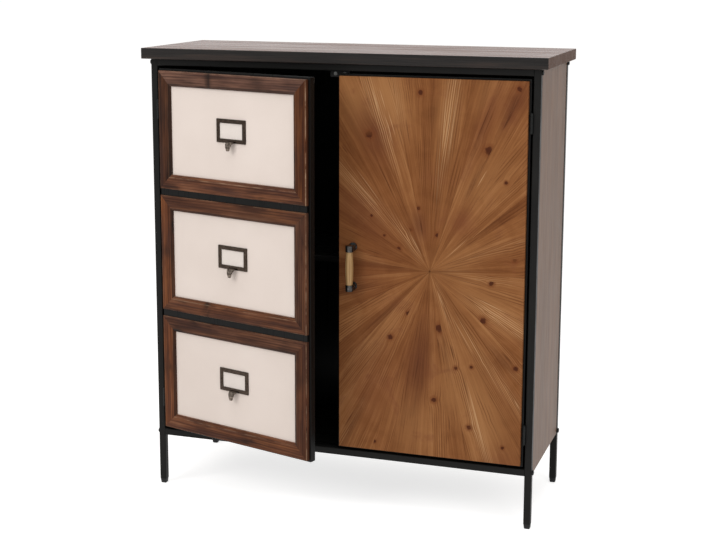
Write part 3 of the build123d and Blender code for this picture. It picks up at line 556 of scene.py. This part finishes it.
def pine_knots(paint, nearest, colour):
    """Adds the knots, with a dark ring round each, to the wood's colour."""
    halo = paint.level(nearest, 2.4, 0.9, 0.0, 0.65)
    colour = paint.blend(halo, colour, (0.165, 0.050, 0.0165))
    core = paint.level(nearest, 1.2, 0.55, 0.0, 0.92)
    shade = paint.even_noise(29.0, 1.0, 0.5)
    heart = paint.ramp(shade, (0.52, (0.058, 0.0150, 0.0066)), (0.68, (0.125, 0.0400, 0.0130)))
    return paint.blend(core, colour, heart)


def pine(knot_marks, pale_line_marks, dark_line_marks):
    """Waxed pine with growth lines, patches, bundles of pale lines, dark streaks and knots."""
    paint = Paint("pine", {"Specular IOR Level": 0.07})
    grain, nearest = bent_grain(paint, knot_marks)
    fine = paint.noise(paint.stretch(grain, (8.0, 330.0, 3.3)), 4.0, 0.6)
    mottle = paint.even_noise(17.0, 4.0, 0.6, 0.8)
    value = pine_value(paint, grain, fine, mottle)
    smears = paint.noise(paint.stretch(grain, (7.0, 32.0, 6.1)), 3.0, 0.55, 0.4)
    lines = growth_lines(paint, paint.stretch(grain, (0.13, 1.0, 0.37)), 62.0, 3.2)
    lines = paint.math("MULTIPLY", paint.level(lines, 0.62, 0.97), paint.level(smears, 0.44, 0.66, 0.0, 0.75))
    colour = pine_ground(paint, value, mottle)
    colour = pine_lines(paint, grain, fine, colour, lines)
    thin = paint.level(nearest_mark(paint, grain, dark_line_marks), 1.0, 0.2, 0.0, 0.72)
    colour = paint.blend(thin, colour, (0.085, 0.0270, 0.0105))
    thin = paint.level(nearest_mark(paint, grain, pale_line_marks), 1.0, 0.2, 0.0, 0.62)
    colour = paint.blend(thin, colour, (0.560, 0.335, 0.1700))
    colour = pine_knots(paint, nearest, colour)
    roughness = paint.level(value, 0.3, 0.7, 0.58, 0.46)
    relief = paint.weighted((value, 1.0), (lines, 0.4))
    return paint.finish(colour, roughness, relief, 0.3 * MM, 0.5)


# Finishes by slot; pine is made with the sunburst, which is the only piece that has it
materials = {
    "black_steel": coated_steel(),
    "black_hardware": metal(
        "black_hardware", (0.007, 0.0075, 0.0072), (0.014, 0.0145, 0.014), 0.36, 0.5, 300.0, 0.0, 0.14
    ),
    "zinc_steel": metal("zinc_steel", (0.15, 0.15, 0.145), (0.25, 0.25, 0.24), 0.5, 0.66, 260.0),
    "dark_iron": metal(
        "dark_iron", (0.009, 0.009, 0.0095), (0.095, 0.091, 0.088), 0.12, 0.26, 210.0, 0.85
    ),
    "antique_bronze": bronze_with_painted_reflection(),
    "black_plastic": black_plastic(),
    "stained_top": stained_top(),
    "side_board": grained(
        "side_board", 2, (0.098, 0.050, 0.027), (0.147, 0.077, 0.042), (0.205, 0.112, 0.066),
        0.44, 0.1 * MM, 0.18, 42.0,
    ),
    "black_board": black_board("black_board", 2),
    "stained_frame": stained_frame(),
    "cream_board": cream_board(),
    "card": card_paper(),
    "natural_wood": grained(
        "natural_wood", 2, (0.175, 0.090, 0.032), (0.325, 0.188, 0.076), (0.52, 0.345, 0.165),
        0.38, 0.15 * MM, 0.3, 170.0,
    ),
}


def dress_frame():
    """Gives each solid of the frame the material of its slot, for the slots that have a material here."""
    for part in frame["record"]["subparts"]:
        material = materials.get(part["material_slot"])
        if material:
            mesh = nodes[part["node"]].data
            mesh.materials.clear()
            mesh.materials.append(material)


def piece(mesh, body, material, replaced, place=Matrix.Identity(4)):
    """Puts a finished mesh on its body in place of solids of the frame."""
    mesh.materials.append(material)
    thing = bpy.data.objects.new(mesh.name, mesh)
    bpy.context.scene.collection.objects.link(thing)
    thing.matrix_world = place
    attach(thing, body)
    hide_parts(*replaced)


def carry(mesh, name, values, kind="FLOAT"):
    """Stores a number or a vector at each point of a mesh."""
    layer = mesh.attributes.new(name, kind, "POINT")
    for item, value in zip(layer.data, values):
        if kind == "FLOAT":
            item.value = value
        else:
            item.vector = value


def tidy_normals(mesh, crease):
    """Turns all faces outward and shades smoothly but for creases sharper than an angle in degrees."""
    form = bmesh.new()
    form.from_mesh(mesh)
    bmesh.ops.recalc_face_normals(form, faces=form.faces)
    form.to_mesh(mesh)
    form.free()
    mesh.shade_smooth()
    mesh.set_sharp_from_angle(angle=math.radians(crease))


def mirrored(box):
    """The same box on the other side of the middle."""
    low, high = box
    return Vector((-high.x, low.y, low.z)), Vector((-low.x, high.y, high.z))


def boards_mesh(name, boxes, edge):
    """Boards with softened edges, as one mesh."""
    form = bmesh.new()
    for low, high in boxes:
        size = Matrix.Diagonal((*(high - low), 1.0))
        made = bmesh.ops.create_cube(form, size=1.0, matrix=Matrix.Translation((low + high) / 2) @ size)
        edges = list({line for point in made["verts"] for line in point.link_edges})
        bmesh.ops.bevel(form, geom=edges, offset=edge, segments=edge_steps, profile=0.5, affect="EDGES")
    mesh = bpy.data.meshes.new(name)
    form.to_mesh(mesh)
    form.free()
    return mesh


def make_door_boards():
    """The core boards of the two doors."""
    board = materials["black_board"]
    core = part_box("right_door_core")
    mesh = boards_mesh("right_door_board", [core], board_edge)
    piece(mesh, "right_door", board, ["right_door_core"])
    mesh = boards_mesh("left_door_board", [mirrored(core)], board_edge)
    piece(mesh, "left_door", board, ["left_door_core"], swing_of_left_door())


def make_side_boards():
    """The side panels, brown outside and black inside."""
    for side, inward in (("left", 1), ("right", -1)):
        node = f"{side}_side_panel"
        mesh = boards_mesh(f"{side}_side_board", [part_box(node)], board_edge)
        piece(mesh, "carcass", materials["side_board"], [node])
        mesh.materials.append(materials["black_board"])
        for face in mesh.polygons:
            face.material_index = 1 if face.normal.x * inward > facing_limit else 0


def make_level_boards():
    """The shelf and the floor, with grain from side to side."""
    board = black_board("black_board_level", 0)
    mesh = boards_mesh("shelf_board", [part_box("shelf")], board_edge)
    piece(mesh, "carcass", board, ["shelf"])
    low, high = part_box("floor_panel")
    low.x -= floor_lap
    high.x += floor_lap
    high.y += floor_lap
    mesh = boards_mesh("floor_board", [(low, high)], board_edge)
    piece(mesh, "carcass", board, ["floor_panel"])


def make_dividers():
    """The black strips between the false drawer fronts."""
    low, high = mirrored(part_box("sunburst_wedges"))
    fronts = [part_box(f"{name}_drawer_frame") for name in stick_looks]
    boxes = []
    for above, below in zip(fronts, fronts[1:]):
        lowest = Vector((low.x, high.y - strip_depth, below[1].z))
        boxes.append((lowest, Vector((high.x, high.y, above[0].z))))
    mesh = boards_mesh("divider_strips", boxes, strip_edge)
    board = materials["black_board"]
    piece(mesh, "left_door", board, ["drawer_dividers"], swing_of_left_door())


def rounded(corners):
    """Points of an outline with rounded corners: place, how rounded it is there, and the corner's name."""
    points = []
    for index, (x, y, radius, name) in enumerate(corners):
        here = Vector((x, y))
        if radius == 0:
            points.append((here, 0.0, name))
            continue
        before = Vector(corners[index - 1][:2])
        after = Vector(corners[(index + 1) % len(corners)][:2])
        start = here + (before - here).normalized() * radius
        end = here + (after - here).normalized() * radius
        for step in range(corner_steps + 1):
            t = step / corner_steps
            point = start * (1 - t) ** 2 + here * 2 * t * (1 - t) + end * t ** 2
            points.append((point, math.sin(math.pi * t) ** 0.5 if 0 < t < 1 else 0.0, name))
    return points


def moulding_section(thickness):
    """The outline of a frame stick: distance from its inner edge, and distance forward of the core."""
    return rounded((
        (rebate_width, 0.0, 0.0, "back"),
        (rebate_width, rebate_depth, 0.0, "back"),
        (0.0, rebate_depth, 0.0, "back"),
        (0.0, thickness - bevel_depth, inner_radius, "inner"),
        (bevel_width, thickness, bevel_radius, "inner"),
        (stick_width, thickness, arris_radius, "outer"),
        (stick_width, 0.0, 0.0, "back"),
    ))


def scorched(name, side, lengthwise):
    """How dark the scorched patches of a stick are at a place along it."""
    total = 0.0
    for front, edge, place, length, strength in scorch_marks:
        if (front, edge) == (name, side):
            total += strength * math.exp(-((lengthwise / MM - place) / length) ** 2)
    return min(total, 1.0)


def dented(lengthwise, index, place):
    """How deep a rounded edge is dented at a place along a stick and round its outline."""
    along_stick, next_stick, round_outline = dent_changes
    dent = noise.noise(Vector((lengthwise * along_stick, index * next_stick, place * round_outline)))
    return max(0.0, dent) * dent_depth


def add_stick(data, section, middle, half_length, inner_reach, name, side, index):
    """Adds one mitred stick on one side of its frame."""
    turn = Matrix.Rotation(math.radians(90 * side), 2)
    tone, grey, outer_wear_and_highlight, inner_wear_and_highlight = stick_looks[name][side]
    # how pale each part of the outline is: wear together with a painted highlight
    wear_and_highlight = {"outer": outer_wear_and_highlight, "inner": inner_wear_and_highlight, "back": 0.0}
    stations = max(2, round(2 * half_length / station_spacing))
    first = len(data["points"])
    count = len(section)
    for station in range(stations + 1):
        share = 2 * station / stations - 1
        for place, (point, rounding, corner) in enumerate(section):
            end = half_length - (stick_width - point.x) - mitre_gap
            lengthwise = share * end
            dent = dented(lengthwise, index, place) * rounding
            across = inner_reach + point.x - dent
            forward = point.y - dent
            flat = turn @ Vector((lengthwise, across))
            data["points"].append((middle.x + flat.x, middle.y - forward, middle.z + flat.y))
            data["grain"].append((lengthwise, point.x + forward, float(index)))
            data["wear_and_highlight"].append(rounding * wear_and_highlight[corner])
            data["tone"].append(tone)
            data["grey"].append(grey)
            # painted shade on the inner bevel, by the side of the frame, together with the scorched patches
            edge = inner_bevel_shade[side] if corner == "inner" and point.x < bevel_shade_reach else 0.0
            data["scorch_and_shade"].append(max(edge, scorched(name, side, lengthwise)))
    for station in range(stations):
        for place in range(count):
            a = first + station * count + place
            b = first + station * count + (place + 1) % count
            data["faces"].append((a, b, b + count, a + count))
    data["faces"].append(tuple(first + place for place in reversed(range(count))))
    data["faces"].append(tuple(first + stations * count + place for place in range(count)))


def make_frames():
    """The three mitred frames of the left door, with worn and dented edges that also carry painted highlights and
    painted shade.
    """
    low, high = mirrored(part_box("sunburst_wedges"))
    section = moulding_section(high.y - low.y)
    half_width = (high.x - low.x) / 2
    stain_material = materials["stained_frame"]
    for number, name in enumerate(stick_looks):
        node = f"{name}_drawer_frame"
        bottom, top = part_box(node)
        middle = Vector(((low.x + high.x) / 2, high.y, (bottom.z + top.z) / 2))
        half_height = (top.z - bottom.z) / 2
        data = {key: [] for key in ("points", "faces", "grain", "wear_and_highlight", "tone", "grey", "scorch_and_shade")}
        for side in range(4):
            reach, half_length = (half_height, half_width) if side % 2 == 0 else (half_width, half_height)
            add_stick(data, section, middle, half_length, reach - stick_width, name, side, 4 * number + side)
        mesh = bpy.data.meshes.new(f"{name}_drawer_moulding")
        mesh.from_pydata(data["points"], [], data["faces"])
        carry(mesh, "grain", data["grain"], "FLOAT_VECTOR")
        for layer in ("wear_and_highlight", "tone", "grey", "scorch_and_shade"):
            carry(mesh, layer, data[layer])
        tidy_normals(mesh, moulding_crease)
        piece(mesh, "left_door", stain_material, [node], swing_of_left_door())


def wedge_angles():
    """Start and end of each wedge in radians, counter-clockwise from the right."""
    scale = 360 / (wedge_rounds * sum(wedge_widths))
    angles = []
    start = 0.0
    for width in wedge_widths * wedge_rounds:
        end = start + math.radians(width * scale)
        angles.append((start, end))
        start = end
    return angles


def wedge_grains(chance, angles):
    """The direction of the grain in each wedge, and how close its lines are."""
    grains = []
    for start, end in angles:
        direction = (start + end) / 2 + chance.uniform(-1, 1) * grain_tilt
        grains.append((direction, chance.uniform(*grain_spread)))
    return grains


def clipped(polygon, normal, distance):
    """The part of a polygon that lies at least a distance along a normal."""
    kept = []
    for here, after in zip(polygon, polygon[1:] + polygon[:1]):
        a = here.dot(normal) - distance
        b = after.dot(normal) - distance
        if a >= 0:
            kept.append(here)
        if a * b < 0:
            kept.append(here.lerp(after, a / (a - b)))
    return kept


def wedge_outline(half_width, half_height, start, end, inset):
    """The outline of one wedge in the plane of the door."""
    x = half_width - inset
    z = half_height - inset
    outline = [Vector((-x, -z)), Vector((x, -z)), Vector((x, z)), Vector((-x, z))]
    edge = wedge_kerf / 2 + inset
    outline = clipped(outline, Vector((-math.sin(start), math.cos(start))), edge)
    return clipped(outline, Vector((math.sin(end), -math.cos(end))), edge)


def marked(point, marks):
    """How strongly marks in the grain show at a point; each mark points away from the centre."""
    total = 0.0
    for x, z, length, width, strength in marks:
        mark = Vector((x, z))
        outward = mark.normalized()
        apart = point / MM - mark
        lengthwise = apart.dot(outward) / length
        crosswise = (apart.y * outward.x - apart.x * outward.y) / width
        total += strength * math.exp(-lengthwise ** 2 - crosswise ** 2)
    return min(total, 1.0)


def grain_place(point, angle, spread, index):
    """Where a point lies along and across the grain of its wedge, whose lines are close or wide apart."""
    lengthwise = point.x * math.cos(angle) + point.y * math.sin(angle)
    crosswise = point.y * math.cos(angle) - point.x * math.sin(angle)
    return (lengthwise, crosswise * spread, float(index))


def wedge_form(rim, face, front, back):
    """One wedge with a fine chamfer round its face, cut into cells that can carry marks."""
    form = bmesh.new()
    rings = []
    for outline, y in ((rim, back), (rim, front + wedge_chamfer), (face, front)):
        rings.append([form.verts.new((point.x, y, point.y)) for point in outline])
    for lower, upper in zip(rings, rings[1:]):
        for place in range(len(rim)):
            after = (place + 1) % len(rim)
            form.faces.new((lower[place], lower[after], upper[after], upper[place]))
    form.faces.new(reversed(rings[0]))
    form.faces.new(rings[-1])
    for axis in (Vector((1, 0, 0)), Vector((0, 0, 1))):
        reach = [point.co.dot(axis) for point in form.verts]
        for step in range(math.ceil(min(reach) / wedge_cell), math.floor(max(reach) / wedge_cell) + 1):
            geometry = form.verts[:] + form.edges[:] + form.faces[:]
            cut = axis * step * wedge_cell
            bmesh.ops.bisect_plane(form, geom=geometry, plane_co=cut, plane_no=axis, dist=cut_tolerance)
    return form


def sunburst_finish(angles, grains):
    """The pine of the sunburst, with knots and thin lines placed in the grain of their wedges."""

    def in_grain(x, z, half_length, half_width):
        aim = math.atan2(z, x) % (2 * math.pi)
        index = next(i for i, (start, end) in enumerate(angles) if start <= aim < end)
        direction, spread = grains[index]
        place = grain_place(Vector((x, z)) * MM, direction, spread, index)
        return place, half_length * MM, half_width * MM * spread

    return pine(
        [in_grain(x, z, radius, radius) for x, z, radius in knots],
        [in_grain(*line) for line in pale_lines],
        [in_grain(*line) for line in dark_lines],
    )


def make_sunburst():
    """The wedges of the right door, each with its own grain, tone and height."""
    low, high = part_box("sunburst_wedges")
    half_width = (high.x - low.x) / 2
    half_height = (high.z - low.z) / 2
    middle = (low + high) / 2
    chance = random.Random(wedge_seed)
    angles = wedge_angles()
    grains = wedge_grains(chance, angles)
    points, faces = [], []
    carried = {name: [] for name in ("grain", "tone", *wood_marks)}
    for index, (start, end) in enumerate(angles):
        rim = wedge_outline(half_width, half_height, start, end, 0.0)
        face = wedge_outline(half_width, half_height, start, end, wedge_chamfer)
        front = low.y + chance.uniform(0, 1) * wedge_step
        tone = chance.uniform(-wedge_tone, wedge_tone)
        form = wedge_form(rim, face, front, high.y)
        form.verts.index_update()
        faces.extend(tuple(len(points) + corner.index for corner in side.verts) for side in form.faces)
        for corner in form.verts:
            flat = Vector((corner.co.x, corner.co.z))
            points.append((middle.x + corner.co.x, corner.co.y, middle.z + corner.co.z))
            carried["grain"].append(grain_place(flat, *grains[index], index))
            carried["tone"].append(tone)
            for name, marks in wood_marks.items():
                carried[name].append(marked(flat, marks))
        form.free()
    mesh = bpy.data.meshes.new("sunburst_veneer")
    mesh.from_pydata(points, [], faces)
    carry(mesh, "grain", carried["grain"], "FLOAT_VECTOR")
    for name in ("tone", *wood_marks):
        carry(mesh, name, carried[name])
    tidy_normals(mesh, wedge_crease)
    piece(mesh, "right_door", sunburst_finish(angles, grains), ["sunburst_wedges"])


def seen_directly(tree):
    """One for rays from the camera, off gloss or through glass, and nought for the rest."""
    paths = tree.nodes.new("ShaderNodeLightPath")
    total = paths.outputs["Is Camera Ray"]
    for name in ("Is Glossy Ray", "Is Transmission Ray"):
        step = tree.nodes.new("ShaderNodeMath")
        step.operation = "MAXIMUM"
        tree.links.new(total, step.inputs[0])
        tree.links.new(paths.outputs[name], step.inputs[1])
        total = step.outputs[0]
    return total


def make_floor():
    """A pale floor that fades into a white surround and keeps the shadow."""
    bpy.ops.mesh.primitive_plane_add(size=floor_size)
    floor = bpy.context.object
    floor.name = "floor"
    material = bpy.data.materials.new("floor")
    material.use_nodes = True
    tree = material.node_tree
    tree.nodes.clear()
    output = tree.nodes.new("ShaderNodeOutputMaterial")
    plain = tree.nodes.new("ShaderNodeBsdfDiffuse")
    plain.inputs["Color"].default_value = floor_colour
    glow = tree.nodes.new("ShaderNodeEmission")
    glow.inputs["Strength"].default_value = floor_glow
    both = tree.nodes.new("ShaderNodeAddShader")
    seen = tree.nodes.new("ShaderNodeMixShader")
    tree.links.new(plain.outputs[0], both.inputs[0])
    tree.links.new(glow.outputs[0], both.inputs[1])
    tree.links.new(seen_directly(tree), seen.inputs[0])
    tree.links.new(plain.outputs[0], seen.inputs[1])
    tree.links.new(both.outputs[0], seen.inputs[2])
    tree.links.new(seen.outputs[0], output.inputs["Surface"])
    floor.data.materials.append(material)


def make_world():
    """A white surround that gives a soft even light."""
    world = bpy.data.worlds.new("surround")
    bpy.context.scene.world = world
    world.use_nodes = True
    tree = world.node_tree
    tree.nodes.clear()
    output = tree.nodes.new("ShaderNodeOutputWorld")
    soft = tree.nodes.new("ShaderNodeBackground")
    soft.inputs["Color"].default_value = surround_colour
    soft.inputs["Strength"].default_value = surround_strength
    white = tree.nodes.new("ShaderNodeBackground")
    white.inputs["Color"].default_value = white_colour
    white.inputs["Strength"].default_value = white_strength
    mix = tree.nodes.new("ShaderNodeMixShader")
    tree.links.new(seen_directly(tree), mix.inputs[0])
    tree.links.new(soft.outputs[0], mix.inputs[1])
    tree.links.new(white.outputs[0], mix.inputs[2])
    tree.links.new(mix.outputs[0], output.inputs["Surface"])


def make_lamp(name, place, aim, size, power):
    """A soft square lamp that points at a place on the cabinet, and that gloss doesn't show as a glare."""
    data = bpy.data.lights.new(name, "AREA")
    data.size = size
    data.energy = power
    lamp = bpy.data.objects.new(name, data)
    bpy.context.scene.collection.objects.link(lamp)
    lamp.visible_glossy = False
    lamp.location = place
    lamp.rotation_euler = (Vector(aim) - Vector(place)).to_track_quat("-Z", "Y").to_euler()


def make_camera():
    """The photograph's viewpoint."""
    data = bpy.data.cameras.new("camera")
    data.sensor_width = sensor_width
    data.lens = sensor_width * focal_pixels / picture_width
    data.shift_y = picture_shift
    data.clip_end = camera_reach
    camera = bpy.data.objects.new("camera", data)
    bpy.context.scene.collection.objects.link(camera)
    turn = Matrix.Rotation(math.radians(camera_turn), 4, "Z")
    dip = Matrix.Rotation(math.radians(90 - camera_dip), 4, "X")
    roll = Matrix.Rotation(math.radians(camera_roll), 4, "Z")
    camera.matrix_world = Matrix.Translation(camera_place) @ turn @ dip @ roll
    bpy.context.scene.camera = camera


dress_frame()
make_door_boards()
make_side_boards()
make_level_boards()
make_dividers()
make_frames()
make_sunburst()
make_floor()
make_world()
for name, settings in lamps.items():
    make_lamp(name, *settings)
make_camera()
bpy.context.scene.view_settings.view_transform = "Standard"
